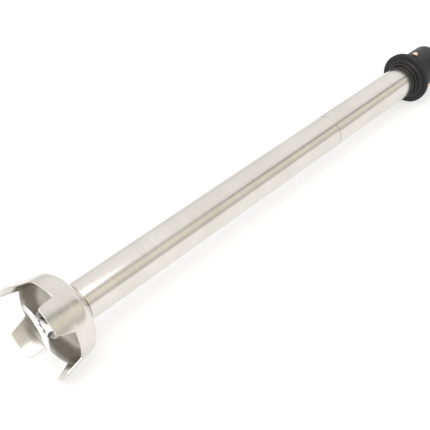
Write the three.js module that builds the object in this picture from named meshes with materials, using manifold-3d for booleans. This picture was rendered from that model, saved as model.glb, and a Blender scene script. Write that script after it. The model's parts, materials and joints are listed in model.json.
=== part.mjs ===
// Immersion blender shaft: bell guard, star blade, tube, drive line and
// bayonet coupling, as separate solids.  Millimetres, +Z up.
//
// Everything is laid out in the shaft frame: X runs along the drive axis from
// the bell (negative X) to the coupling (positive X), and X = 0 is the rim of
// the bell, where the gaps between its four legs end.  The finished shaft lies
// on a table, on the rim of the bell and the rim of the coupling flange, so the
// whole group is tilted a little about Y and lifted to Z = 0.  Bell and flange
// are drawn with 28 flats, one of them facing down.  The real ones are round,
// and rock a few degrees until the edge of a leg stops them.
import * as THREE from "three";
import { mergeVertices } from "three/addons/utils/BufferGeometryUtils.js";
import Module from "manifold-3d";

const wasm = await Module();
wasm.setup();

// ---------------------------------------------------------------- dimensions
const GAP = 0.3;                 // clearance between touching pieces

const TUBE_OD = 35;              // outer tube
const TUBE_WALL = 1.6;
const TUBE_START = 29.3;         // where the tube leaves the bell
const TUBE_END = 520;            // hidden end, inside the coupling
const GROOVE_X = 362.0;          // engraved fill line
const GROOVE_W = 0.9;
const GROOVE_D = 0.45;

const RIM_R = 39.9;              // bell, outside, at the rim
const TIP_R = 43.0;              // bell, outside, at the leg tips
const LEG_LEN = 16.8;
const SHEET = 1.8;               // bell sheet thickness
const GAP_BASE_DEG = [-18, 24];  // edges of a gap between two legs, at the rim
const GAP_TIP_DEG = [-28, 27.5]; // and at the leg tips; the legs lean a little
const LEG_CORNER = 2.0;          // rounding of the leg tip corners
const BELL_SIDES = 28;           // bell and flange have equal flats, one of them facing down
const LEG_ANGLES = [45, 135, 225, 315];

const BLADE_R = 24.5;            // star blade
const BLADE_T = 2.0;
const BLADE_X = -8.4;            // front face of the blade
const BLADE_ANGLES = [60, 180, 300];

const SHAFT_R = 5;               // drive shaft
const SHAFT_START = -6.4;
const SHAFT_END = 538;

const BRG_W = 6;                 // thin ball bearing, 10 x 22 x 6
const BRG_PITCH_R = 8.05;
const BALL_R = 1.5;
const BALLS = 7;
const LOWER_BRG_X = 9.5;         // bearing centres
const UPPER_BRG_X = 492.3;

const NOSE_FRONT = 500.2;        // nose of the coupling round the tube
const NOSE_REAR = 503.7;
const FLANGE_FRONT = 506.8;
const FLANGE_REAR = 509.0;
const GASKET_REAR = 511.2;
const FLANGE_R = 28.2;
const NECK_R = 21.1;
const NECK_END = 554;
const SOCKET_R = 16.8;
const PIN_X = 526;               // bayonet pins
const PIN_R = 2.9;
const PIN_TOP = 23.9;
const PIN_ANGLES = [2, 122, 242];

// ----------------------------------------------------------------- materials
const mat = (color, roughness, metalness) =>
  new THREE.MeshStandardMaterial({ color, roughness, metalness });
const satinSteel = () => mat(0xd6d3cb, 0.34, 1.0);
const polishedSteel = () => mat(0xe2e0da, 0.18, 1.0);
const machinedSteel = () => mat(0xb9bbbd, 0.3, 1.0);
const bearingSteel = () => mat(0xaeb2b6, 0.16, 1.0);
const blackPlastic = () => mat(0x2b2c2f, 0.5, 0.0);
const blackRubber = () => mat(0x18191b, 0.8, 0.0);
const whitePolymer = () => mat(0xe6e4dc, 0.55, 0.0);
const brassyPin = () => mat(0xd9c6a6, 0.25, 1.0);

// ------------------------------------------------------------------- helpers
const rad = (d) => (d * Math.PI) / 180;

const bare = (geometry) => {
  const g = geometry.clone();
  for (const name of Object.keys(g.attributes)) {
    if (name !== "position") g.deleteAttribute(name);
  }
  return mergeVertices(g, 1e-4);
};

// Signed volume tells whether the faces point out.
const volume = (g) => {
  const p = g.attributes.position.array;
  const i = g.index.array;
  let v = 0;
  for (let k = 0; k < i.length; k += 3) {
    const a = i[k] * 3, b = i[k + 1] * 3, c = i[k + 2] * 3;
    v += p[a] * (p[b + 1] * p[c + 2] - p[b + 2] * p[c + 1])
       - p[a + 1] * (p[b] * p[c + 2] - p[b + 2] * p[c])
       + p[a + 2] * (p[b] * p[c + 1] - p[b + 1] * p[c]);
  }
  return v / 6;
};

const outward = (g) => {
  if (volume(g) < 0) {
    const i = g.index.array;
    for (let k = 0; k < i.length; k += 3) {
      const t = i[k + 1];
      i[k + 1] = i[k + 2];
      i[k + 2] = t;
    }
  }
  return g;
};

const closed = (geometry) => outward(bare(geometry));

// A turned piece: a list of [x, radius] points revolved about the X axis.
// It is turned by half a facet, so that a flat and not an edge faces down.
const turned = (profile, segments = 20) => {
  const g = new THREE.LatheGeometry(profile.map(([x, r]) => new THREE.Vector2(r, x)), segments);
  g.rotateZ(-Math.PI / 2);
  g.rotateX(Math.PI / segments);
  return closed(g);
};

// The same with its flats, not its edges, at the given radii.
const flatTurned = (profile, segments) =>
  turned(profile.map(([x, r]) => [x, r / Math.cos(Math.PI / segments)]), segments);

// A ring with a square section.
const ring = (x0, x1, r0, r1, segments = 20) =>
  turned([[x0, r0], [x0, r1], [x1, r1], [x1, r0], [x0, r0]], segments);

// A flat plate: an outline in the (y, z) plane, extruded from x0 to x1.
const plate = (shape, x0, x1) => {
  const g = new THREE.ExtrudeGeometry(shape, { depth: x1 - x0, bevelEnabled: false, curveSegments: 4 });
  g.applyMatrix4(new THREE.Matrix4().makeBasis(
    new THREE.Vector3(0, 1, 0), new THREE.Vector3(0, 0, 1), new THREE.Vector3(1, 0, 0)));
  g.translate(x0, 0, 0);
  return closed(g);
};

// Angles are measured about the X axis from +Z towards -Y.
const radial = (deg) => new THREE.Vector3(0, -Math.sin(rad(deg)), Math.cos(rad(deg)));

// Turns a geometry made for angle 0 (standing along +Z) to its angle.
const turnTo = (g, deg) => g.rotateX(rad(deg));

// A round pin along the radial direction: [radius from axis, pin radius] points.
const radialPin = (x, deg, profile, segments = 16) => {
  const g = new THREE.LatheGeometry(profile.map(([h, r]) => new THREE.Vector2(r, h)), segments);
  g.rotateX(Math.PI / 2);
  turnTo(g, deg);
  g.translate(x, 0, 0);
  return closed(g);
};

const solid = (g) => new wasm.Manifold(new wasm.Mesh({
  numProp: 3,
  vertProperties: new Float32Array(g.attributes.position.array),
  triVerts: new Uint32Array(g.index.array),
}));

const fromSolid = (m) => {
  const mesh = m.getMesh();
  const g = new THREE.BufferGeometry();
  const n = mesh.vertProperties.length / mesh.numProp;
  const p = new Float32Array(n * 3);
  for (let k = 0; k < n; k++) {
    for (let c = 0; c < 3; c++) p[k * 3 + c] = mesh.vertProperties[k * mesh.numProp + c];
  }
  g.setAttribute("position", new THREE.BufferAttribute(p, 3));
  g.setIndex(Array.from(mesh.triVerts));
  return mergeVertices(g, 1e-5);
};

const cut = (g, ...tools) => {
  let m = solid(g);
  for (const t of tools) m = m.subtract(solid(t));
  return fromSolid(m);
};

const shaft = new THREE.Group();   // everything, in the shaft frame
const put = (name, geometry, material) => {
  geometry.computeVertexNormals();
  const mesh = new THREE.Mesh(geometry, material);
  mesh.name = name;
  shaft.add(mesh);
  return mesh;
};

// -------------------------------------------------------------- tube and bell
const TUBE_R = TUBE_OD / 2;
const TUBE_BORE = TUBE_R - TUBE_WALL;
put("outer_tube", turned([
  [TUBE_START, TUBE_BORE], [TUBE_START, TUBE_R],
  [GROOVE_X - GROOVE_W / 2, TUBE_R], [GROOVE_X - GROOVE_W / 2, TUBE_R - GROOVE_D],
  [GROOVE_X + GROOVE_W / 2, TUBE_R - GROOVE_D], [GROOVE_X + GROOVE_W / 2, TUBE_R],
  [TUBE_END, TUBE_R], [TUBE_END, TUBE_BORE], [TUBE_START, TUBE_BORE],
], 40), satinSteel());

// Spun sheet: skirt, rounded shoulder, steep cone up to the tube, and a thick
// ring where the tube and the bearing hub meet.
const HUB_R = 13.2;
const bellBody = flatTurned([
  [-LEG_LEN, TIP_R], [0, RIM_R], [3.5, 38.9], [9.5, 38.3], [13.8, 37.6], [17.3, 36.1],
  [19.5, 33.9], [21.3, 31.0], [28.0, 18.9], [29.0, 17.6],
  [29.0, HUB_R + GAP], [26.4, HUB_R + GAP], [26.4, 18.1],
  [19.7, 30.1], [18.1, 32.6], [16.2, 34.4], [13.2, 35.8], [9.2, 36.5], [3.2, 37.1],
  [0, RIM_R - SHEET], [-LEG_LEN, TIP_R - SHEET], [-LEG_LEN, TIP_R],
], BELL_SIDES);

// One gap between two legs, as a plate standing across the skirt.  Its two
// edges run out at different slopes, and both have a rounded tip corner.
const gapCutter = (deg) => {
  const edge = (base, tip) => {
    const half0 = RIM_R * Math.sin(rad(base));
    const half1 = TIP_R * Math.sin(rad(tip));
    const slope = (half1 - half0) / LEG_LEN;
    const out = [[0, half0 - 1.2], [-0.35, half0 - 0.35], [-1.2, half0 + 1.2 * slope]];
    const bend = LEG_LEN - LEG_CORNER;
    for (let k = 0; k <= 3; k++) {
      const a = (k / 3) * (Math.PI / 2);
      out.push([-(bend + LEG_CORNER * Math.sin(a)),
        half0 + bend * slope + LEG_CORNER * (1 - Math.cos(a)) + slope * LEG_CORNER * Math.sin(a)]);
    }
    out.push([-(LEG_LEN + 3), out[out.length - 1][1]]);
    return out;
  };
  // angles grow from +Z towards -Y, so the first edge is on the +Y side
  const first = edge(-GAP_BASE_DEG[0], -GAP_TIP_DEG[0]);
  const second = edge(GAP_BASE_DEG[1], GAP_TIP_DEG[1]);
  const shape = new THREE.Shape();
  first.forEach(([x, y], k) => (k ? shape.lineTo(x, y) : shape.moveTo(x, y)));
  for (const [x, y] of [...second].reverse()) shape.lineTo(x, -y);
  shape.closePath();
  const g = new THREE.ExtrudeGeometry(shape, { depth: 24, bevelEnabled: false });
  g.translate(0, 0, 27);
  return closed(turnTo(g, deg));
};
const bell = put("bell_guard", cut(bellBody, ...LEG_ANGLES.map((a) => gapCutter(a + 45))), satinSteel());

// -------------------------------------------------------- lower bearing group
const HOUSING_BORE = 11.25;
const SPIGOT_R = TUBE_BORE - GAP;
put("bell_hub", turned([
  [-2.0, HOUSING_BORE], [-2.0, HUB_R - 0.8], [-1.2, HUB_R], [29.3, HUB_R],
  [29.3, SPIGOT_R], [36.7, SPIGOT_R], [36.7, 13.7], [39.3, 13.7], [39.3, SPIGOT_R],
  [46.2, SPIGOT_R], [47, SPIGOT_R - 0.8], [47, 6.9], [12.9, 6.9], [12.9, HOUSING_BORE],
  [5.5, HOUSING_BORE], [5.5, 11.95], [4.2, 11.95], [4.2, HOUSING_BORE],
  [-2.0, HOUSING_BORE],
], 24), machinedSteel());

// Torus with a many-sided round section.
const oRing = (x, r, minor, sides = 6, segments = 20) => {
  const p = [];
  for (let k = 0; k <= sides; k++) {
    const a = (k / sides) * Math.PI * 2;
    p.push([x + minor * Math.sin(a), r + minor * Math.cos(a)]);
  }
  p[sides] = p[0];
  return turned(p, segments);
};
put("hub_o_ring", oRing(38, 14.7, 0.75), blackRubber());

// Internal circlip: a C with two drilled ears.
const circlip = (x0, x1, r0, r1, ear, inward, openDeg) => {
  const s = new THREE.Shape();
  const a0 = rad(openDeg / 2), a1 = rad(360 - openDeg / 2);
  const steps = 12;
  for (const [r, from, to] of [[r1, a0, a1], [r0, a1, a0]]) {
    for (let k = 0; k <= steps; k++) {
      const a = from + ((to - from) * k) / steps;
      if (r === r1 && k === 0) s.moveTo(r * Math.cos(a), r * Math.sin(a));
      else s.lineTo(r * Math.cos(a), r * Math.sin(a));
    }
  }
  s.closePath();
  const body = solid(plate(s, x0, x1));
  const rm = inward ? r0 - ear * 0.35 : r1 + ear * 0.35;
  let m = body;
  const tools = [];
  for (const sgn of [1, -1]) {
    const a = sgn * rad(openDeg / 2 + 5);
    const lug = new THREE.Shape();
    lug.absarc(rm * Math.cos(a), rm * Math.sin(a), ear, 0, Math.PI * 2, false);
    m = m.add(solid(plate(lug, x0, x1)));
    const hole = new THREE.Shape();
    hole.absarc(rm * Math.cos(a), rm * Math.sin(a), ear * 0.45, 0, Math.PI * 2, false);
    tools.push(plate(hole, x0 - 1, x1 + 1));
  }
  return cut(fromSolid(m), ...tools);
};
put("hub_circlip", circlip(4.5, 5.2, 9.7, 11.6, 1.1, true, 28), machinedSteel());

put("lip_seal", turned([
  [-0.4, 7.9], [-0.4, 10.95], [3.7, 10.95], [3.7, 9.7], [1.0, 9.5], [1.2, 8.4],
  [3.0, 7.3], [2.4, 6.95], [0.6, 7.2], [-0.4, 7.9],
], 20), blackRubber());
put("seal_cover", turned([
  [-3.6, 7.6], [-3.6, 11.6], [-2.9, 12.8], [-2.3, 12.8], [-2.3, 10.9], [-0.75, 10.9],
  [-0.75, 10.0], [-2.3, 10.0], [-2.7, 7.6], [-3.6, 7.6],
], 24), machinedSteel());
put("seal_sleeve", turned([
  [-6.3, SHAFT_R + GAP], [-6.3, 7.2], [-4.5, 7.2], [-4.1, 6.6], [5.6, 6.6], [6.2, 6.2],
  [6.2, SHAFT_R + GAP], [-6.3, SHAFT_R + GAP],
], 20), polishedSteel());

// One ball bearing, centred on x.
const bearing = (prefix, x) => {
  const h = BRG_W / 2;
  put(`${prefix}_bearing_outer_race`, turned([
    [x - h, 9.5], [x - h, 10.95], [x + h, 10.95], [x + h, 9.5],
    [x + 1.9, 9.5], [x + 1.1, 9.85], [x - 1.1, 9.85], [x - 1.9, 9.5], [x - h, 9.5],
  ], 20), bearingSteel());
  put(`${prefix}_bearing_inner_race`, turned([
    [x - h, SHAFT_R + GAP], [x - h, 6.7], [x - 1.9, 6.7], [x - 1.1, 6.25], [x + 1.1, 6.25],
    [x + 1.9, 6.7], [x + h, 6.7], [x + h, SHAFT_R + GAP], [x - h, SHAFT_R + GAP],
  ], 16), bearingSteel());
  const pockets = [];
  for (let k = 0; k < BALLS; k++) {
    const c = radial((k * 360) / BALLS).multiplyScalar(BRG_PITCH_R);
    const ball = new THREE.SphereGeometry(BALL_R, 8, 5);
    ball.translate(x, c.y, c.z);
    put(`${prefix}_ball_${k + 1}`, closed(ball), bearingSteel());
    const pocket = new THREE.CylinderGeometry(BALL_R + 0.4, BALL_R + 0.4, 3, 8);
    pocket.rotateX(Math.PI / 2);
    pocket.translate(0, 0, BRG_PITCH_R);
    turnTo(pocket, (k * 360) / BALLS);
    pocket.translate(x, 0, 0);
    pockets.push(closed(pocket));
  }
  put(`${prefix}_bearing_cage`, cut(ring(x - 2.5, x + 2.5, 7.45, 8.65, 14), ...pockets), whitePolymer());
};
bearing("lower", LOWER_BRG_X);

// ------------------------------------------------------------ shaft supports
for (const [name, x] of [["shaft_bush_lower", 190], ["shaft_bush_upper", 345]]) {
  put(name, turned([
    [x, SHAFT_R + GAP], [x, 8], [x + 3, 8], [x + 3, SPIGOT_R],
    [x + 11, SPIGOT_R], [x + 11, 8], [x + 14, 8],
    [x + 14, SHAFT_R + GAP], [x, SHAFT_R + GAP],
  ], 20), whitePolymer());
}

// -------------------------------------------------------- upper bearing group
put("upper_bearing_housing", turned([
  [480, 6.9], [480, SPIGOT_R - 0.8], [480.8, SPIGOT_R], [503.5, SPIGOT_R],
  [503.5, HOUSING_BORE], [497.2, HOUSING_BORE], [497.2, 11.95], [495.9, 11.95],
  [495.9, HOUSING_BORE], [489.0, HOUSING_BORE], [489.0, 6.9], [480, 6.9],
], 20), machinedSteel());
bearing("upper", UPPER_BRG_X);
put("upper_circlip", circlip(496.2, 496.9, 9.7, 11.6, 1.1, true, 28), machinedSteel());
put("shaft_circlip", circlip(496.2, 496.9, 4.75, 6.3, 0.9, false, 34), machinedSteel());
put("upper_dust_shield", turned([
  [498.6, SHAFT_R + GAP + 0.1], [498.6, 10.9], [501.4, 10.9], [501.4, 9.8], [499.8, 9.8],
  [499.8, SHAFT_R + GAP + 0.1], [498.6, SHAFT_R + GAP + 0.1],
], 20), blackRubber());

// ------------------------------------------------------------------ drive line
const screwBore = turned([[SHAFT_START - 1, 0], [SHAFT_START - 1, 2.85], [9, 2.85], [9, 0]], 16);
const CROSS_X = 534.6;
const crossPin = (r, l) => {
  const g = new THREE.CylinderGeometry(r, r, l, 16);
  g.translate(CROSS_X, 0, 0);
  return closed(g);
};
put("drive_shaft", cut(turned([
  [SHAFT_START, 0], [SHAFT_START, SHAFT_R - 0.4], [SHAFT_START + 0.4, SHAFT_R],
  [495.9, SHAFT_R], [495.9, 4.4], [497.2, 4.4], [497.2, SHAFT_R],
  [SHAFT_END - 0.8, SHAFT_R], [SHAFT_END, SHAFT_R - 0.8], [SHAFT_END, 0],
], 16), screwBore, crossPin(1.8, 30)), machinedSteel());

// Star blade: three broad arms with hollow flanks and skewed tips.
const star = new THREE.Shape();
[...BLADE_ANGLES].reverse().forEach((deg, k) => {
  // (y, z) of a point at distance u out along the arm and v across it
  const c = Math.cos(rad(deg)), s = Math.sin(rad(deg));
  const at = (u, v) => [-s * u - c * v, c * u - s * v];
  const flank = [[6.6, 6.9], [9.4, 4.9], [13, 3.95], [17.5, 3.3], [22, 2.6]];
  const tip = [[BLADE_R - 0.6, 2.0], [BLADE_R, 1.3], [BLADE_R - 0.9, -1.6], [BLADE_R - 1.6, -2.3]];
  const back = [[22, -2.6], [17.5, -3.3], [13, -3.95], [9.4, -4.9], [6.6, -6.9]];
  // the arms are taken in falling angle, so each starts on its +v flank
  [...flank, ...tip, ...back].forEach(([u, v], j) => {
    const [y, z] = at(u, v);
    if (k === 0 && j === 0) star.moveTo(y, z); else star.lineTo(y, z);
  });
});
star.closePath();
const bladeBore = turned([[BLADE_X - 1, 0], [BLADE_X - 1, 2.85], [BLADE_X + BLADE_T + 1, 2.85],
  [BLADE_X + BLADE_T + 1, 0]], 16);
put("star_blade", cut(plate(star, BLADE_X, BLADE_X + BLADE_T), bladeBore), polishedSteel());

// Hexagon head and shank.
const screwHead = turned([
  [BLADE_X - 1.6, 0], [BLADE_X - 1.6, 4.5], [BLADE_X - 1.2, 5.1],
  [BLADE_X - GAP, 5.1], [BLADE_X - GAP, 0],
], 6);
const screwShank = turned([
  [BLADE_X - 0.8, 0], [BLADE_X - 0.8, 2.5], [6.4, 2.5], [7, 1.9], [7, 0],
], 16);
put("blade_screw", fromSolid(solid(turnTo(screwHead, 25)).add(solid(screwShank))), machinedSteel());

const hex = new THREE.Shape();
for (let k = 0; k < 6; k++) {
  const a = rad(60 * k + 30);
  if (k) hex.lineTo(6 * Math.cos(a), 6 * Math.sin(a)); else hex.moveTo(6 * Math.cos(a), 6 * Math.sin(a));
}
hex.closePath();
put("drive_coupler", cut(turned([
  [531, SHAFT_R + GAP], [531, 8.7], [531.8, 9.5], [550, 9.5], [551.2, 8.3], [551.2, 0],
  [SHAFT_END + GAP, 0], [SHAFT_END + GAP, SHAFT_R + GAP], [531, SHAFT_R + GAP],
], 24), plate(hex, 540.2, 552), crossPin(1.8, 30)), machinedSteel());
put("coupler_cross_pin", crossPin(1.5, 17.6), bearingSteel());

// -------------------------------------------------------------------- coupling
const flute = (deg) => {
  const g = new THREE.CylinderGeometry(PIN_R + GAP, PIN_R + GAP, 8, 16);
  g.rotateX(Math.PI / 2);
  g.translate(0, 0, 18.6 + 4);
  turnTo(g, deg);
  g.translate(PIN_X, 0, 0);
  return closed(g);
};
put("coupling_collar", cut(flatTurned([
  [NOSE_REAR + GAP, TUBE_R + GAP], [NOSE_REAR + GAP, 19.7], [505.2, 20.0], [506.6, 21.4],
  [507.2, 23.4], [FLANGE_FRONT, 24.4], [FLANGE_FRONT, FLANGE_R - 0.5],
  [FLANGE_FRONT + 0.5, FLANGE_R], [FLANGE_REAR, FLANGE_R], [FLANGE_REAR, NECK_R],
  [NECK_END - 1.4, NECK_R], [NECK_END, NECK_R - 1.4], [NECK_END, SOCKET_R + 1],
  [NECK_END - 1, SOCKET_R], [520.6, SOCKET_R], [520.6, TUBE_R + GAP],
  [NOSE_REAR + GAP, TUBE_R + GAP],
], BELL_SIDES), ...PIN_ANGLES.map(flute)), blackPlastic());
put("collar_nose_ring", flatTurned([
  [NOSE_FRONT, TUBE_R + GAP], [NOSE_FRONT, 18.9], [NOSE_FRONT + 0.7, 19.6],
  [NOSE_REAR, 19.7], [NOSE_REAR, TUBE_R + GAP], [NOSE_FRONT, TUBE_R + GAP],
], BELL_SIDES), blackPlastic());
put("flange_gasket", flatTurned([
  [FLANGE_REAR + GAP, NECK_R + GAP], [FLANGE_REAR + GAP, FLANGE_R - 0.2],
  [GASKET_REAR, FLANGE_R - 0.2], [GASKET_REAR, NECK_R + GAP], [FLANGE_REAR + GAP, NECK_R + GAP],
], BELL_SIDES), blackRubber());
PIN_ANGLES.forEach((deg, k) => {
  put(`bayonet_pin_${k + 1}`, radialPin(PIN_X, deg, [
    [18.95, 0], [18.95, PIN_R], [PIN_TOP - 0.6, PIN_R], [PIN_TOP, PIN_R - 0.6], [PIN_TOP, 0],
  ]), brassyPin());
});
const slot = (deg) => {
  const g = new THREE.BoxGeometry(3, 3, 6);
  g.translate(527, 0, 15.6);
  return closed(turnTo(g, deg));
};
put("collar_lock_ring", cut(ring(520.9, 527, 12.4, SOCKET_R - GAP, 24),
  ...[45, 135, 225, 315].map(slot)), machinedSteel());

// ------------------------------------------------- lay the shaft on the table
// Turn about Y until the bell and the flange reach equally low, then lift.
const lowest = (mesh, tilt) => {
  const p = mesh.geometry.attributes.position;
  let z = Infinity;
  for (let k = 0; k < p.count; k++) {
    z = Math.min(z, p.getZ(k) * Math.cos(tilt) - p.getX(k) * Math.sin(tilt));
  }
  return z;
};
const collar = shaft.getObjectByName("coupling_collar");
let lo = 0, hi = 0.1;
for (let k = 0; k < 50; k++) {
  const mid = (lo + hi) / 2;
  if (lowest(collar, mid) > lowest(bell, mid)) lo = mid; else hi = mid;
}
const TILT = (lo + hi) / 2;
shaft.rotation.y = TILT;
shaft.position.z = -lowest(bell, TILT);

// The origin is under the middle of the bounding box.
const part = new THREE.Group();
part.add(shaft);
part.updateMatrixWorld(true);
const box = new THREE.Box3().setFromObject(part, true);
shaft.position.x -= (box.min.x + box.max.x) / 2;
shaft.position.y -= (box.min.y + box.max.y) / 2;
part.updateMatrixWorld(true);

export default part;
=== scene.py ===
# Immersion blender shaft: fine surfaces, materials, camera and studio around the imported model.
import json
import math

import bmesh
import bpy
import numpy as np
from mathutils import Matrix, Vector


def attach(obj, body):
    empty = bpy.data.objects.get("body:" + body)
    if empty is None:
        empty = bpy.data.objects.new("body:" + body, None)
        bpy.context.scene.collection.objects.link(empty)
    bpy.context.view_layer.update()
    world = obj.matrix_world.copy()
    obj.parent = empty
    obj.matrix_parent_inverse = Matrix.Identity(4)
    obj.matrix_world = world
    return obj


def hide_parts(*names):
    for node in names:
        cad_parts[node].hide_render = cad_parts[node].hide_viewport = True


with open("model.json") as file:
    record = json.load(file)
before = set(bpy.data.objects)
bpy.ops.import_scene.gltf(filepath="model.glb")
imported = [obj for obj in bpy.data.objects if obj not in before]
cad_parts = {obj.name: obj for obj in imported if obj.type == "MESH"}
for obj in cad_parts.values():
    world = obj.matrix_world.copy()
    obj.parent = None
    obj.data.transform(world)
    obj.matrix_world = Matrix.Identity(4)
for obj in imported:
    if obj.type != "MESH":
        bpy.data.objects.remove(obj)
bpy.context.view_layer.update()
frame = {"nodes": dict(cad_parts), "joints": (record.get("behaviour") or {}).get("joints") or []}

NODES = frame["nodes"]

# ------------------------------------------------------------------ shaft frame
# Pieces are laid out in millimetres in the shaft frame: X along the drive axis
# from the bell to the coupling, X = 0 at the rim of the bell.  The drive joint
# gives the axis in the row frame.
JOINT = next(j for j in frame["joints"] if j["name"] == "drive_spin")
AX = Vector(JOINT["axis"]).normalized()
SIDE = Vector((0.0, 1.0, 0.0))
UP = AX.cross(SIDE).normalized()
ORIGIN = Vector(JOINT["pos_m"]) + AX * 0.0077
TILT = math.atan2(-AX.z, AX.x)
BASIS = np.array([AX, SIDE, UP], float)


def to_row(points):
    p = np.asarray(points, float) / 1000.0
    return p @ BASIS + np.array(ORIGIN)


# ------------------------------------------------------------------ dimensions
TUBE_R = 17.5
GROOVE_X = 362.0
RIM_R, TIP_R, LEG_LEN = 39.9, 43.0, 16.8
SHEET = 1.8
BLADE_X, BLADE_T, BLADE_R = -8.4, 2.0, 24.5
PIN_X = 526.0
PIN_ANGLES = (2, 122, 242)

# ---------------------------------------------------------------- mesh helpers


def link(obj):
    bpy.context.scene.collection.objects.link(obj)
    return obj


def outward(me):
    bm = bmesh.new()
    bm.from_mesh(me)
    bmesh.ops.recalc_face_normals(bm, faces=bm.faces)
    if bm.calc_volume(signed=True) < 0:
        bmesh.ops.reverse_faces(bm, faces=bm.faces)
    bm.to_mesh(me)
    bm.free()


def piece(name, verts, faces, sharp=32.0):
    me = bpy.data.meshes.new(name)
    me.from_pydata([tuple(v) for v in to_row(verts)], [], faces)
    me.update()
    outward(me)
    me.shade_smooth()
    me.set_sharp_from_angle(angle=math.radians(sharp))
    return link(bpy.data.objects.new(name, me))


def bake(obj, sharp=None):
    """Applies the modifiers."""
    dg = bpy.context.evaluated_depsgraph_get()
    dg.update()
    me = bpy.data.meshes.new_from_object(obj.evaluated_get(dg))
    obj.modifiers.clear()
    old = obj.data
    obj.data = me
    if old.users == 0:
        bpy.data.meshes.remove(old)
    if sharp is not None:
        me.shade_smooth()
        me.set_sharp_from_angle(angle=math.radians(sharp))
    return obj


def fillet(points, n=4, closed=True):
    """Rounds the corners of a profile: points are (x, r, radius)."""
    out = []
    m = len(points)
    for i, p in enumerate(points):
        rad = p[2] if len(p) > 2 else 0.0
        if rad <= 0 or (not closed and i in (0, m - 1)):
            out.append((p[0], p[1]))
            continue
        a, b, c = (np.array(q[:2], float) for q in (points[i - 1], p, points[(i + 1) % m]))
        u, v = a - b, c - b
        lu, lv = np.linalg.norm(u), np.linalg.norm(v)
        u, v = u / lu, v / lv
        ang = math.acos(max(-1, min(1, float(u @ v))))
        d = min(rad / math.tan(ang / 2), 0.48 * lu, 0.48 * lv)
        r = d * math.tan(ang / 2)
        w = u + v
        centre = b + w / np.linalg.norm(w) * (r / math.sin(ang / 2))
        s, e = b + u * d - centre, b + v * d - centre
        a0, a1 = math.atan2(s[1], s[0]), math.atan2(e[1], e[0])
        da = (a1 - a0 + math.pi) % (2 * math.pi) - math.pi
        for k in range(n + 1):
            t = a0 + da * k / n
            out.append(tuple(centre + r * np.array([math.cos(t), math.sin(t)])))
    return out


def turned(name, profile, seg=128, closed=True, sharp=32.0, offset=0.0):
    """Turns (x, r) points about the shaft axis.  An open profile starts and ends on the axis."""
    prof = np.array(profile, float)
    verts, faces = [], []
    n = len(prof)
    start = []
    for x, r in prof:
        start.append(len(verts))
        if r < 1e-6:
            verts.append((x, 0, 0))
        else:
            for k in range(seg):
                a = offset + 2 * math.pi * k / seg
                verts.append((x, -r * math.sin(a), r * math.cos(a)))
    pairs = [(i, i + 1) for i in range(n - 1)] + ([(n - 1, 0)] if closed else [])
    for i, j in pairs:
        ri, rj = prof[i][1] > 1e-6, prof[j][1] > 1e-6
        for k in range(seg):
            l = (k + 1) % seg
            if ri and rj:
                faces.append((start[i] + k, start[i] + l, start[j] + l, start[j] + k))
            elif ri:
                faces.append((start[i] + k, start[i] + l, start[j]))
            elif rj:
                faces.append((start[i], start[j] + l, start[j] + k))
    return piece(name, verts, faces, sharp)


def radial_turned(name, x, deg, profile, seg=48, sharp=40.0):
    """Turns (height, r) points about a line that leaves the shaft axis at an angle."""
    c, s = math.cos(math.radians(deg)), math.sin(math.radians(deg))
    out, side = np.array([0, -s, c]), np.array([0, c, s])
    verts, faces, start = [], [], []
    for h, r in profile:
        start.append(len(verts))
        if r < 1e-6:
            verts.append(tuple(np.array([x, 0, 0]) + h * out))
        else:
            for k in range(seg):
                a = 2 * math.pi * k / seg
                verts.append(tuple(np.array([x + r * math.cos(a), 0, 0]) + r * math.sin(a) * side + h * out))
    for i in range(len(profile) - 1):
        j = i + 1
        ri, rj = profile[i][1] > 1e-6, profile[j][1] > 1e-6
        for k in range(seg):
            l = (k + 1) % seg
            if ri and rj:
                faces.append((start[i] + k, start[i] + l, start[j] + l, start[j] + k))
            elif ri:
                faces.append((start[i] + k, start[i] + l, start[j]))
            elif rj:
                faces.append((start[i], start[j] + l, start[j] + k))
    return piece(name, verts, faces, sharp)


def boolean(obj, tools, sharp=32.0, operation="DIFFERENCE"):
    for t in tools:
        m = obj.modifiers.new("cut", "BOOLEAN")
        m.operation = operation
        m.solver = "EXACT"
        m.object = t
    bake(obj, sharp)
    for t in tools:
        me = t.data
        bpy.data.objects.remove(t)
        bpy.data.meshes.remove(me)
    return obj


# ------------------------------------------------------------------- materials
def new_material(name):
    m = bpy.data.materials.new(name)
    m.use_nodes = True
    nt = m.node_tree
    nt.nodes.clear()
    out = nt.nodes.new("ShaderNodeOutputMaterial")
    b = nt.nodes.new("ShaderNodeBsdfPrincipled")
    nt.links.new(b.outputs[0], out.inputs[0])
    return m, nt, b


def shaft_coords(nt):
    """Object coordinates in metres, turned so that X runs along the shaft."""
    tc = nt.nodes.new("ShaderNodeTexCoord")
    sub = nt.nodes.new("ShaderNodeVectorMath")
    sub.operation = "SUBTRACT"
    sub.inputs[1].default_value = ORIGIN
    nt.links.new(tc.outputs["Object"], sub.inputs[0])
    rot = nt.nodes.new("ShaderNodeVectorRotate")
    rot.rotation_type = "Y_AXIS"
    rot.inputs["Angle"].default_value = -TILT
    nt.links.new(sub.outputs[0], rot.inputs["Vector"])
    return rot.outputs[0]


def scaled(nt, vec, scale):
    m = nt.nodes.new("ShaderNodeVectorMath")
    m.operation = "MULTIPLY"
    m.inputs[1].default_value = scale
    nt.links.new(vec, m.inputs[0])
    return m.outputs[0]


def noise(nt, vec, scale, detail=3.0, rough=0.5, distortion=0.0):
    n = nt.nodes.new("ShaderNodeTexNoise")
    n.inputs["Scale"].default_value = scale
    n.inputs["Detail"].default_value = detail
    n.inputs["Roughness"].default_value = rough
    n.inputs["Distortion"].default_value = distortion
    nt.links.new(vec, n.inputs["Vector"])
    return n.outputs["Fac"]


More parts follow.
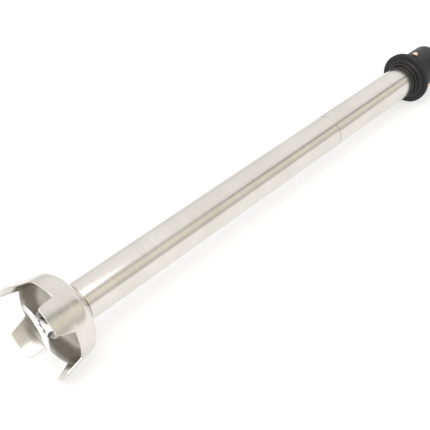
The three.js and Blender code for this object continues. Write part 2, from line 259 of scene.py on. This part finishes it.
def ramp(nt, fac, stops):
    r = nt.nodes.new("ShaderNodeValToRGB")
    e = r.color_ramp.elements
    while len(e) < len(stops):
        e.new(0.5)
    for el, (p, c) in zip(e, stops):
        el.position = p
        el.color = (c[0], c[1], c[2], 1.0) if hasattr(c, "__len__") else (c, c, c, 1.0)
    nt.links.new(fac, r.inputs[0])
    return r.outputs[0]


def remap(nt, fac, a, b, lo=0.3, hi=0.7):
    m = nt.nodes.new("ShaderNodeMapRange")
    m.inputs["From Min"].default_value = lo
    m.inputs["From Max"].default_value = hi
    m.inputs["To Min"].default_value = a
    m.inputs["To Max"].default_value = b
    nt.links.new(fac, m.inputs["Value"])
    return m.outputs[0]


def math_node(nt, op, a, b=None, clamp=False):
    m = nt.nodes.new("ShaderNodeMath")
    m.operation = op
    m.use_clamp = clamp
    for i, v in enumerate((a, b)):
        if v is None:
            continue
        if isinstance(v, (int, float)):
            m.inputs[i].default_value = v
        else:
            nt.links.new(v, m.inputs[i])
    return m.outputs[0]


def bump(nt, height, bsdf, strength, distance, prev=None):
    b = nt.nodes.new("ShaderNodeBump")
    b.inputs["Strength"].default_value = strength
    b.inputs["Distance"].default_value = distance
    nt.links.new(height, b.inputs["Height"])
    if prev is not None:
        nt.links.new(prev, b.inputs["Normal"])
    nt.links.new(b.outputs[0], bsdf.inputs["Normal"])
    return b.outputs[0]


def mix_colour(nt, fac, a, b):
    m = nt.nodes.new("ShaderNodeMix")
    m.data_type = "RGBA"
    if isinstance(fac, (int, float)):
        m.inputs["Factor"].default_value = fac
    else:
        nt.links.new(fac, m.inputs["Factor"])
    for key, v in ((6, a), (7, b)):
        if hasattr(v, "__len__"):
            m.inputs[key].default_value = (v[0], v[1], v[2], 1.0)
        else:
            nt.links.new(v, m.inputs[key])
    return m.outputs[2]


def painted_edge_highlight(nt):
    """Painted highlight: lighter along convex edges, from the geometry's pointiness."""
    g = nt.nodes.new("ShaderNodeNewGeometry")
    return remap(nt, g.outputs["Pointiness"], 0.0, 1.0, 0.52, 0.60)


def steel(name, lo, hi, rough, grain, aniso=0.0, spread=0.06, blotch=0.5, bump_strength=0.12, dirt=None):
    """Brushed stainless: grain is the stretch of the brush marks along x, y, z."""
    m, nt, b = new_material(name)
    v = shaft_coords(nt)
    fine = noise(nt, scaled(nt, v, grain), 1.0, 4.0, 0.62)
    soft = noise(nt, v, 28.0, 2.0, 0.5)
    both = math_node(nt, "ADD", math_node(nt, "MULTIPLY", fine, 1.0 - blotch), math_node(nt, "MULTIPLY", soft, blotch))
    colour = ramp(nt, both, [(0.32, lo), (0.68, hi)])
    if dirt is not None:
        colour = mix_colour(nt, dirt(nt, v), colour, (0.30, 0.27, 0.22))
    nt.links.new(colour, b.inputs["Base Color"])
    nt.links.new(remap(nt, fine, rough - spread, rough + spread), b.inputs["Roughness"])
    b.inputs["Metallic"].default_value = 1.0
    if aniso:
        b.inputs["Anisotropic"].default_value = aniso
        t = nt.nodes.new("ShaderNodeTangent")
        t.direction_type = "RADIAL"
        t.axis = "X"
        nt.links.new(t.outputs[0], b.inputs["Tangent"])
    bump(nt, fine, b, bump_strength, 0.00006)
    return m


def plastic(name, lo, hi, rough, grain=2600.0, strength=0.25, edge_highlight=0.0):
    m, nt, b = new_material(name)
    v = shaft_coords(nt)
    cell = noise(nt, v, grain, 2.0, 0.6)
    broad = noise(nt, v, 45.0, 3.0, 0.55)
    colour = ramp(nt, broad, [(0.3, lo), (0.7, hi)])
    # convex edges are mixed towards a lighter grey: a painted highlight along the edges
    if edge_highlight:
        colour = mix_colour(nt, math_node(nt, "MULTIPLY", painted_edge_highlight(nt), edge_highlight), colour, (hi[0] * 2.4, hi[1] * 2.4, hi[2] * 2.4))
    nt.links.new(colour, b.inputs["Base Color"])
    nt.links.new(remap(nt, broad, rough - 0.05, rough + 0.06), b.inputs["Roughness"])
    b.inputs["Specular IOR Level"].default_value = 0.34
    bump(nt, cell, b, strength, 0.00005)
    return m


M_TUBE = steel("tube_steel", (0.66, 0.63, 0.58), (0.80, 0.775, 0.735), 0.20, (2600.0, 60.0, 60.0), aniso=0.35, spread=0.05, blotch=0.35)
M_BELL = steel("bell_steel", (0.66, 0.63, 0.585), (0.81, 0.785, 0.745), 0.22, (1800.0, 90.0, 90.0), aniso=0.3, spread=0.04, blotch=0.6, bump_strength=0.05)
# darker, duller steel: painted shade inside the bell, in the engraved groove and on the seal parts
M_PAINTED_SHADE = steel("painted_shade_steel", (0.43, 0.41, 0.375), (0.55, 0.53, 0.49), 0.34, (1400.0, 90.0, 90.0), spread=0.07, blotch=0.5)
M_BLADE = steel("blade_steel", (0.86, 0.85, 0.835), (0.95, 0.945, 0.93), 0.36, (300.0, 1500.0, 260.0), spread=0.06, blotch=0.4)
M_TURNED = steel("turned_steel", (0.50, 0.50, 0.49), (0.68, 0.675, 0.66), 0.28, (2200.0, 80.0, 80.0), spread=0.07)
M_BEARING = steel("bearing_steel", (0.58, 0.59, 0.60), (0.74, 0.75, 0.76), 0.14, (1500.0, 60.0, 60.0), spread=0.03)
# collar and nose ring carry a painted highlight along their convex edges
M_COLLAR = plastic("collar_plastic", (0.011, 0.011, 0.013), (0.018, 0.018, 0.021), 0.42, edge_highlight=0.5)
M_NOSE = plastic("nose_plastic", (0.012, 0.012, 0.014), (0.021, 0.021, 0.024), 0.40, edge_highlight=0.5)
M_RUBBER = plastic("black_rubber", (0.010, 0.010, 0.011), (0.018, 0.018, 0.019), 0.68, grain=1800.0, strength=0.35)
M_POLYMER = plastic("white_polymer", (0.60, 0.59, 0.54), (0.70, 0.69, 0.65), 0.5, strength=0.15)


def pin_brass():
    m, nt, b = new_material("pin_brass")
    v = shaft_coords(nt)
    n = noise(nt, v, 900.0, 4.0, 0.6)
    broad = noise(nt, v, 220.0, 2.0, 0.5)
    colour = ramp(nt, broad, [(0.3, (0.66, 0.50, 0.33)), (0.7, (0.86, 0.74, 0.58))])
    # convex edges are mixed towards pale cream: a painted highlight on the pin's edges
    colour = mix_colour(nt, math_node(nt, "MULTIPLY", painted_edge_highlight(nt), 0.6), colour, (0.95, 0.88, 0.78))
    nt.links.new(colour, b.inputs["Base Color"])
    nt.links.new(remap(nt, n, 0.16, 0.32), b.inputs["Roughness"])
    b.inputs["Metallic"].default_value = 1.0
    bump(nt, n, b, 0.15, 0.00006)
    return m


M_PIN = pin_brass()


def dress(obj, material, slot, body, *nodes):
    obj.data.materials.clear()
    obj.data.materials.append(material)
    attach(obj, body)
    if nodes:
        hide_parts(*nodes)
    return obj


# ------------------------------------------------------------------------- tube
tube = turned("tube_skin", fillet([
    (29.3, 15.9), (29.3, TUBE_R, 0.35),
    (GROOVE_X - 0.55, TUBE_R, 0.12), (GROOVE_X - 0.3, TUBE_R - 0.42, 0.08),
    (GROOVE_X + 0.3, TUBE_R - 0.42, 0.08), (GROOVE_X + 0.55, TUBE_R, 0.12),
    (520.0, TUBE_R, 0.3), (520.0, 15.9),
], n=3), seg=192)
dress(tube, M_TUBE, "satin_steel", "housing", "outer_tube")
# the engraved line is given the darker, duller steel inside: painted shade in the groove
tube.data.materials.append(M_PAINTED_SHADE)
for p in tube.data.polygons:
    q = Vector(p.center) - ORIGIN
    s = q.dot(AX)
    if abs(s * 1000.0 - GROOVE_X) < 1.0 and (q - AX * s).length * 1000.0 < TUBE_R - 0.06:
        p.material_index = 1


# ------------------------------------------------------------------------- bell
def bell_mesh():
    # outer section, rim to tube; (x, r)
    outer = [(0.0, 39.88), (0.5, 39.74), (1.9, 39.32), (3.6, 38.92), (6.4, 38.6), (9.4, 38.28), (11.8, 37.95), (13.8, 37.5),
             (15.6, 36.85), (17.2, 35.95), (18.5, 34.8), (19.6, 33.4), (20.6, 31.9), (21.6, 30.15), (23.3, 27.1), (25.1, 23.9),
             (26.7, 21.0), (27.7, 19.2), (28.4, 18.15), (28.95, 17.6)]
    o = np.array(outer)
    d = np.gradient(o, axis=0)
    nrm = np.stack([-d[:, 1], d[:, 0]], 1)
    nrm /= np.linalg.norm(nrm, axis=1)[:, None]
    inner = o - nrm * SHEET
    keep = [i for i in range(len(o)) if inner[i][0] < 25.7]
    inn = [tuple(inner[i]) for i in keep]
    top = [(29.0, 17.3), (29.0, 15.6), (29.0, 13.8), (28.8, 13.5), (27.6, 13.5), (26.6, 13.5), (26.4, 13.8), (26.4, 15.6), (26.35, 17.6)]
    section = outer + top + inn[::-1]
    n_sec = len(section)

    # leg rows, below the rim, on the outer and inner faces
    rows = [-1.0, -4.5, -8.5, -12.0, -14.2, -15.2, -16.0, -16.5, -LEG_LEN]
    slope = (TIP_R - RIM_R) / LEG_LEN

    # the legs lean a little: their two edges run out at different slopes, and
    # each edge is given by the gap beside it, as on the solid
    def edge(x, base, tip):
        t = -min(x, 0.0) / LEG_LEN
        r = RIM_R - slope * min(x, 0.0)
        h0, h1 = RIM_R * math.sin(math.radians(base)), TIP_R * math.sin(math.radians(tip))
        d = math.degrees(math.asin((h0 + (h1 - h0) * t) / r))
        bend = -(LEG_LEN - 2.0)
        if x < bend:
            q = min(1.0, (bend - x) / 2.0)
            d += math.degrees(2.0 * (1 - math.sqrt(max(0.0, 1 - q * q * 0.995))) / TIP_R)
        return d

    def leg_edges(x):
        return -45.0 + edge(x, 24.0, 27.5), 45.0 - edge(x, 18.0, 28.0)

    LO, HI = leg_edges(0.0)

    us = [-1.0, -0.965, -0.86, -0.66, -0.44, -0.22, 0.0, 0.22, 0.44, 0.66, 0.86, 0.965, 1.0]
    gs = [0.025, 0.10, 0.24, 0.38, 0.5, 0.62, 0.76, 0.90, 0.975]
    columns = []  # (kind, leg, parameter)
    for leg in range(4):
        for u in us:
            columns.append(("leg", leg, u))
        for g in gs:
            columns.append(("gap", leg, g))
    nc = len(columns)

    def theta(col, x):
        kind, leg, p = columns[col]
        centre = 45.0 + 90.0 * leg
        if kind == "leg":
            lo, hi = leg_edges(x)
            return centre + 0.5 * (lo + hi) + 0.5 * p * (hi - lo)
        return centre + HI + (90.0 - HI + LO) * p

    verts, faces = [], []

    def add(x, r, deg):
        a = math.radians(deg)
        verts.append((x, -r * math.sin(a), r * math.cos(a)))
        return len(verts) - 1

    sec = [[add(x, r, theta(c, max(x, 0.0))) for c in range(nc)] for x, r in section]
    for i in range(n_sec - 1):
        for c in range(nc):
            d2 = (c + 1) % nc
            faces.append((sec[i][c], sec[i][d2], sec[i + 1][d2], sec[i + 1][c]))
    # rim of each gap: the outer and inner rim meet
    for c in range(nc):
        d2 = (c + 1) % nc
        leg_cell = columns[c][0] == "leg" and columns[d2][0] == "leg"
        if not leg_cell:
            faces.append((sec[0][c], sec[0][d2], sec[-1][d2], sec[-1][c]))
    # legs
    for leg in range(4):
        cols = [i for i, c in enumerate(columns) if c[0] == "leg" and c[1] == leg]
        out_rows = [[sec[0][c] for c in cols]]
        in_rows = [[sec[-1][c] for c in cols]]
        for x in rows:
            r = RIM_R - slope * x
            out_rows.append([add(x, r, theta(c, x)) for c in cols])
            in_rows.append([add(x - 0.0, r - SHEET, theta(c, x)) for c in cols])
        m = len(cols)
        for j in range(len(rows)):
            for k in range(m - 1):
                faces.append((out_rows[j][k], out_rows[j][k + 1], out_rows[j + 1][k + 1], out_rows[j + 1][k]))
                faces.append((in_rows[j][k], in_rows[j + 1][k], in_rows[j + 1][k + 1], in_rows[j][k + 1]))
            for k in (0, m - 1):
                faces.append((out_rows[j][k], out_rows[j + 1][k], in_rows[j + 1][k], in_rows[j][k]))
        for k in range(m - 1):
            faces.append((out_rows[-1][k], out_rows[-1][k + 1], in_rows[-1][k + 1], in_rows[-1][k]))
    return verts, faces


bell = piece("bell_skin", *bell_mesh())
sub = bell.modifiers.new("smooth", "SUBSURF")
sub.levels = sub.render_levels = 2
bake(bell, 50.0)
dress(bell, M_BELL, "satin_steel", "housing", "bell_guard")
# the inside of the sheet is given the darker, duller steel: painted shade inside the bell
bell.data.materials.append(M_PAINTED_SHADE)
for p in bell.data.polygons:
    q = Vector(p.center) - ORIGIN
    q -= AX * q.dot(AX)
    if (Vector(p.center) - ORIGIN).dot(AX) > -0.0015 and Vector(p.normal).dot(q.normalized()) < -0.25:
        p.material_index = 1

# ---------------------------------------------------------------- bell interior
dress(turned("hub_skin", fillet([
    (-2.0, 11.25, 0.15), (-2.0, 13.2, 0.7), (3.0, 13.2), (3.2, 13.0, 0.1), (4.0, 13.0, 0.1), (4.2, 13.2), (29.3, 13.2),
    (29.3, 15.5, 0.2), (36.7, 15.5), (36.7, 13.7), (39.3, 13.7), (39.3, 15.5), (47.0, 15.5, 0.6), (47.0, 6.9),
    (12.9, 6.9), (12.9, 11.25), (5.5, 11.25), (5.5, 11.9), (4.2, 11.9), (4.2, 11.25),
], n=3), seg=128), M_TURNED, "machined_steel", "housing", "bell_hub")
# the seal cover and sleeve take the darker steel: painted shade deep inside the bell
dress(turned("seal_cover_skin", fillet([
    (-3.6, 7.6, 0.15), (-3.6, 11.6, 0.3), (-2.9, 12.75, 0.3), (-2.3, 12.75, 0.1), (-2.3, 10.9), (-0.75, 10.9), (-0.75, 10.0),
    (-2.3, 10.0), (-2.7, 7.6),
], n=3), seg=128), M_PAINTED_SHADE, "machined_steel", "housing", "seal_cover")
dress(turned("seal_sleeve_skin", fillet([
    (-6.3, 5.3), (-6.3, 7.2, 0.3), (-4.5, 7.2, 0.2), (-4.1, 6.6), (5.6, 6.6), (6.2, 6.2), (6.2, 5.3),
], n=3), seg=96), M_PAINTED_SHADE, "machined_steel", "drive", "seal_sleeve")


# ------------------------------------------------------------------------ blade
def catmull(points, n=6):
    p = [np.array(q, float) for q in points]
    out = []
    for i in range(len(p) - 1):
        a, b, c, d = p[max(i - 1, 0)], p[i], p[i + 1], p[min(i + 2, len(p) - 1)]
        for k in range(n):
            t = k / n
            out.append(0.5 * ((2 * b) + (c - a) * t + (2 * a - 5 * b + 4 * c - d) * t * t + (3 * b - a - 3 * c + d) * t ** 3))
    out.append(p[-1])
    return out


def blade_outline():
    flank = [(24.2, 2.15), (22.0, 2.6), (17.5, 3.3), (13.0, 3.95), (9.4, 4.95), (6.75, 6.6)]
    pts = []
    for deg in (300, 180, 60):
        # the +v flank outwards, round the skewed tip, the -v flank inwards, then the valley
        up = catmull(flank[::-1], 5)
        tip = [(24.7, 1.9), (25.0, 1.2), (24.1, -1.7), (23.5, -2.2)]
        down = catmull([(22.9, -2.45), (17.5, -3.3), (13.0, -3.95), (9.4, -4.95), (6.75, -6.6)], 5)
        a = math.radians(deg)
        for u, v in [tuple(q) for q in up] + tip + [tuple(q) for q in down]:
            u = 6.75 + (u - 6.75) * (BLADE_R - 6.75) / 18.25
            pts.append(np.array([-math.sin(a) * u - math.cos(a) * v, math.cos(a) * u - math.sin(a) * v]))
        # valley, bulging a little inwards between two arms
        b = math.radians(deg - 60)
        for w in (-1.2, 0.0, 1.2):
            rr = 9.05 - 0.0 * w
            pts.append(np.array([-math.sin(b) * rr + math.cos(b) * w * -1.0, math.cos(b) * rr + math.sin(b) * w * -1.0]))
    return pts


def blade_mesh():
    raw = blade_outline()
    # order by walking, drop near-duplicates
    pts = []
    for q in raw:
        if not pts or np.linalg.norm(q - pts[-1]) > 0.12:
            pts.append(q)
    p = np.array(pts)
    n = len(p)
    area = 0.5 * sum(p[i][0] * p[(i + 1) % n][1] - p[(i + 1) % n][0] * p[i][1] for i in range(n))
    nxt, prv = np.roll(p, -1, 0), np.roll(p, 1, 0)
    t = nxt - prv
    t /= np.linalg.norm(t, axis=1)[:, None]
    inward = np.stack([-t[:, 1], t[:, 0]], 1) * (1 if area > 0 else -1)
    loops = []
    x0, x1 = BLADE_X, BLADE_X + BLADE_T
    for x, d in ((x0, 1.25), (x0 + 0.10, 1.05), (x0 + 0.85, 0.06), (x0 + 1.0, 0.0), (x1 - 0.25, 0.0), (x1 - 0.08, 0.08), (x1, 0.28)):
        loops.append([(x, *(p[i] + inward[i] * d)) for i in range(n)])
    verts = [v for l in loops for v in l]
    faces = []
    for j in range(len(loops) - 1):
        for i in range(n):
            k = (i + 1) % n
            faces.append((j * n + i, j * n + k, (j + 1) * n + k, (j + 1) * n + i))
    faces.append(tuple(range(n)))
    faces.append(tuple((len(loops) - 1) * n + i for i in range(n))[::-1])
    return verts, faces


blade = piece("blade_skin", *blade_mesh(), sharp=24.0)
dress(blade, M_BLADE, "blade_steel", "drive", "star_blade")

# hexagon head with a turned chamfer, and its shank
screw = turned("blade_screw_skin", fillet([
    (-10.0, 0.0), (-10.0, 3.3, 0.5), (-9.3, 4.9, 0.3), (-9.15, 5.25), (-8.7, 5.25, 0.1), (-8.7, 2.5), (6.5, 2.5), (7.0, 2.0), (7.0, 0.0),
], closed=False), seg=96, closed=False)
hexa = [(-5.1 * math.sin(math.radians(60 * k - 5)), 5.1 * math.cos(math.radians(60 * k - 5))) for k in range(6)]
vv = [(x, *q) for x in (-12.0, 9.0) for q in hexa]
ff = [(k, (k + 1) % 6, 6 + (k + 1) % 6, 6 + k) for k in range(6)] + [tuple(range(6))[::-1], tuple(range(6, 12))]
prism = piece("hexagon", vv, ff)
dress(boolean(screw, [prism], 24.0, "INTERSECT"), M_BLADE, "machined_steel", "drive", "blade_screw")

# --------------------------------------------------------------------- coupling
collar = turned("collar_skin", fillet([
    (504.0, 17.8, 0.1), (504.0, 19.7, 0.2), (505.2, 20.0, 0.6), (506.6, 21.4, 0.6), (507.2, 23.4, 0.4), (506.8, 24.4, 0.4),
    (506.8, 27.8, 0.3), (507.2, 28.2, 0.3), (508.8, 28.2, 0.15), (509.0, 28.0, 0.1), (509.0, 21.1, 0.12),
    (519.0, 21.1), (521.0, 21.1), (522.0, 21.1), (523.0, 21.1), (524.0, 21.1), (525.0, 21.1), (526.0, 21.1), (527.0, 21.1),
    (528.0, 21.1), (529.0, 21.1), (530.0, 21.1), (531.0, 21.1), (533.0, 21.1),
    (552.6, 21.1, 0.5), (554.0, 19.7, 0.3), (554.0, 17.8, 0.2), (553.0, 16.8, 0.2), (520.6, 16.8), (520.6, 17.8),
], n=3), seg=180)
tools = []
for k, deg in enumerate(PIN_ANGLES):
    tools.append(radial_turned(f"flute_{k}", PIN_X, deg, [(18.6, 0.0), (18.6, 3.15), (20.55, 3.15), (21.4, 3.75), (24.0, 3.75), (24.0, 0.0)], 48))
dress(boolean(collar, tools), M_COLLAR, "black_plastic", "housing", "coupling_collar")
dress(turned("nose_skin", fillet([
    (500.2, 17.8, 0.1), (500.2, 18.9, 0.35), (500.9, 19.6, 0.35), (503.7, 19.7, 0.25), (503.7, 17.8, 0.1),
], n=4), seg=160), M_NOSE, "black_plastic", "housing", "collar_nose_ring")
dress(turned("gasket_skin", fillet([
    (509.3, 21.4, 0.2), (509.3, 28.0, 0.3), (511.2, 28.0, 0.5), (511.2, 21.4, 0.2),
], n=4), seg=160), M_RUBBER, "black_rubber", "housing", "flange_gasket")
for k, deg in enumerate(PIN_ANGLES):
    prof = [(18.95, 0.0), (18.95, 2.6), (19.2, 2.87), (22.9, 2.87), (23.3, 2.75), (23.6, 2.45), (23.78, 2.0), (23.86, 1.4), (23.88, 0.7), (23.86, 0.0)]
    dress(radial_turned(f"bayonet_pin_skin_{k + 1}", PIN_X, deg, prof, 56, 60.0), M_PIN, "pin_brass", "housing", f"bayonet_pin_{k + 1}")

lock = turned("lock_ring_skin", fillet([
    (520.9, 12.4, 0.15), (520.9, 16.48, 0.2), (527.0, 16.48, 0.4), (527.0, 12.4, 0.4),
], n=3), seg=96)
tools = []
for k, deg in enumerate((45, 135, 225, 315)):
    c, s = math.cos(math.radians(deg)), math.sin(math.radians(deg))
    vv = []
    for x in (525.5, 528.0):
        for h, w in ((12.0, -1.5), (18.6, -1.5), (18.6, 1.5), (12.0, 1.5)):
            vv.append((x, -s * h + c * w, c * h + s * w))
    ff = [(0, 1, 2, 3), (7, 6, 5, 4), (0, 4, 5, 1), (1, 5, 6, 2), (2, 6, 7, 3), (3, 7, 4, 0)]
    tools.append(piece(f"slot_{k}", vv, ff))
dress(boolean(lock, tools), M_TURNED, "machined_steel", "housing", "collar_lock_ring")

coupler = turned("coupler_skin", fillet([
    (531.0, 5.3, 0.1), (531.0, 9.5, 0.8), (546.0, 9.5), (546.2, 9.2, 0.1), (547.0, 9.2, 0.1), (547.2, 9.5), (550.6, 9.5, 0.5),
    (551.2, 8.3, 0.3), (551.2, 0.0), (538.3, 0.0), (538.3, 5.3),
], n=3), seg=96)
hexa = [(6.0 * math.cos(math.radians(60 * k + 30)), 6.0 * math.sin(math.radians(60 * k + 30))) for k in range(6)]
vv = [(540.2, *q) for q in hexa] + [(550.2, *q) for q in hexa] + [(551.4, q[0] * 1.16, q[1] * 1.16) for q in hexa] + [(553.0, q[0] * 1.16, q[1] * 1.16) for q in hexa]
ff = [(6 * j + k, 6 * j + (k + 1) % 6, 6 * j + 6 + (k + 1) % 6, 6 * j + 6 + k) for j in range(3) for k in range(6)]
ff += [tuple(range(6))[::-1], tuple(range(18, 24))]
tools = [piece("hex_socket", vv, ff)]
cc = [(1.65 * math.cos(2 * math.pi * k / 32), 1.65 * math.sin(2 * math.pi * k / 32)) for k in range(32)]
vv = [(534.6 + q[0], y, q[1]) for y in (-12.0, 12.0) for q in cc]
ff = [(k, (k + 1) % 32, 32 + (k + 1) % 32, 32 + k) for k in range(32)] + [tuple(range(32))[::-1], tuple(range(32, 64))]
tools.append(piece("cross_hole", vv, ff))
dress(boolean(coupler, tools), M_TURNED, "machined_steel", "drive", "drive_coupler")

# ------------------------------------- pieces that keep their own solid's shape
CARRIED = {
    "hub_o_ring": M_RUBBER, "lip_seal": M_RUBBER, "upper_dust_shield": M_RUBBER,
    "hub_circlip": M_TURNED, "upper_circlip": M_TURNED, "shaft_circlip": M_TURNED,
    "shaft_bush_lower": M_POLYMER, "shaft_bush_upper": M_POLYMER,
    "upper_bearing_housing": M_TURNED, "drive_shaft": M_TURNED, "coupler_cross_pin": M_BEARING,
}
for n, o in NODES.items():
    if n in CARRIED:
        mat = CARRIED[n]
    elif n.endswith("_cage"):
        mat = M_POLYMER
    elif "_ball_" in n or "_race" in n:
        mat = M_BEARING
    else:
        continue
    o.data.materials.clear()
    o.data.materials.append(mat)
    o.data.shade_smooth()
    o.data.set_sharp_from_angle(angle=math.radians(38 if "_ball_" in n else 30))

# ----------------------------------------------------------------------- camera
# The view's axes, in camera coordinates (x right, y down, z forward): the drive
# axis, the shaft frame's up, and its side towards the camera.
CAM_A = np.array([0.6804767, -0.47297698, 0.55968227])
CAM_UP = np.array([-0.09509257, -0.81433014, -0.57255901])
CAM_SIDE = np.array([0.72657337, 0.33639144, -0.59910929])
CAM_T = np.array([-3.73415093, 2.44371206, 18.86788871]) * 35.0
XS, YS, ZS = np.array(AX), np.array(SIDE), np.array(UP)


def cam_dir(v):
    v = np.array(v, float)
    return (v @ CAM_A) * XS - (v @ CAM_SIDE) * YS + (v @ CAM_UP) * ZS


cam_data = bpy.data.cameras.new("camera")
cam = link(bpy.data.objects.new("camera", cam_data))
right, down, fwd = cam_dir((1, 0, 0)), cam_dir((0, 1, 0)), cam_dir((0, 0, 1))
place = cam_dir(-CAM_T) / 1000.0 + np.array(ORIGIN)
rot = Matrix((right, -down, -fwd)).transposed().to_4x4()
cam.matrix_world = Matrix.Translation(Vector(place)) @ rot
cam_data.sensor_width = 36.0
cam_data.lens = 835.98 / 430.0 * 36.0
cam_data.clip_start = 0.01
cam_data.clip_end = 50.0
bpy.context.scene.camera = cam

# ----------------------------------------------------------------------- studio
scene = bpy.context.scene
scene.view_settings.view_transform = "Standard"
scene.view_settings.look = "None"
world = bpy.data.worlds.new("studio")
scene.world = world
world.use_nodes = True
bg = world.node_tree.nodes["Background"]
bg.inputs[1].default_value = 1.0
# a tent open towards the viewer: bands of equal height angle, running along the shaft
wn = world.node_tree
tc = wn.nodes.new("ShaderNodeTexCoord")
sep = wn.nodes.new("ShaderNodeSeparateXYZ")
wn.links.new(tc.outputs["Generated"], sep.inputs[0])
height = math_node(wn, "ARCTAN2", sep.outputs["Z"], math_node(wn, "MULTIPLY", sep.outputs["Y"], -1.0))
TENT = [(-8, (0.60, 0.585, 0.55)), (10, (0.60, 0.585, 0.55)), (21, (0.93, 0.88, 0.765)), (44, (0.93, 0.88, 0.765)),
        (47, (0.30, 0.29, 0.27)), (55, (0.30, 0.29, 0.27)), (60, (1.0, 0.995, 0.985)), (90, (1.05, 1.045, 1.035)),
        (150, (1.0, 0.995, 0.985)), (172, (0.80, 0.795, 0.785))]
HAZY = [(a, (0.56, 0.545, 0.50) if c == (0.30, 0.29, 0.27) else c) for a, c in TENT]
along = remap(wn, sep.outputs["X"], 0.0, 1.0, 0.46, 0.72)
band = remap(wn, height, 0.0, 1.0, math.radians(-10), math.radians(180))
sky = [ramp(wn, band, [((a + 10) / 190.0, c) for a, c in stops]) for stops in (HAZY, TENT)]
lp = wn.nodes.new("ShaderNodeLightPath")  # the tent itself is out of sight: a plain pale backdrop
wn.links.new(mix_colour(wn, lp.outputs["Is Camera Ray"], mix_colour(wn, along, *sky), (0.98, 0.98, 0.975)), bg.inputs[0])

floor_me = bpy.data.meshes.new("floor")
F = 6.0
floor_me.from_pydata([(-F, -F, -0.0002), (F, -F, -0.0002), (F, F, -0.0002), (-F, F, -0.0002)], [], [(0, 1, 2, 3)])
floor = link(bpy.data.objects.new("floor", floor_me))
m, nt, b = new_material("floor_white")
b.inputs["Base Color"].default_value = (0.35, 0.35, 0.35, 1.0)
b.inputs["Emission Color"].default_value = (1.0, 1.0, 1.0, 1.0)
b.inputs["Emission Strength"].default_value = 0.66
b.inputs["Roughness"].default_value = 0.9
b.inputs["Specular IOR Level"].default_value = 0.1
floor_me.materials.append(m)


def area(name, loc, target, size, power, colour=(1, 1, 1)):
    d = bpy.data.lights.new(name, "AREA")
    d.shape = "RECTANGLE"
    d.size, d.size_y = size
    d.energy = power
    d.color = colour
    o = link(bpy.data.objects.new(name, d))
    o.location = loc
    o.rotation_euler = (Vector(target) - Vector(loc)).to_track_quat("-Z", "Y").to_euler()
    return o


area("key", (-0.6, -0.3, 1.5), (0.0, 0.0, 0.0), (1.4, 1.4), 14.0, (1.0, 0.99, 0.97))
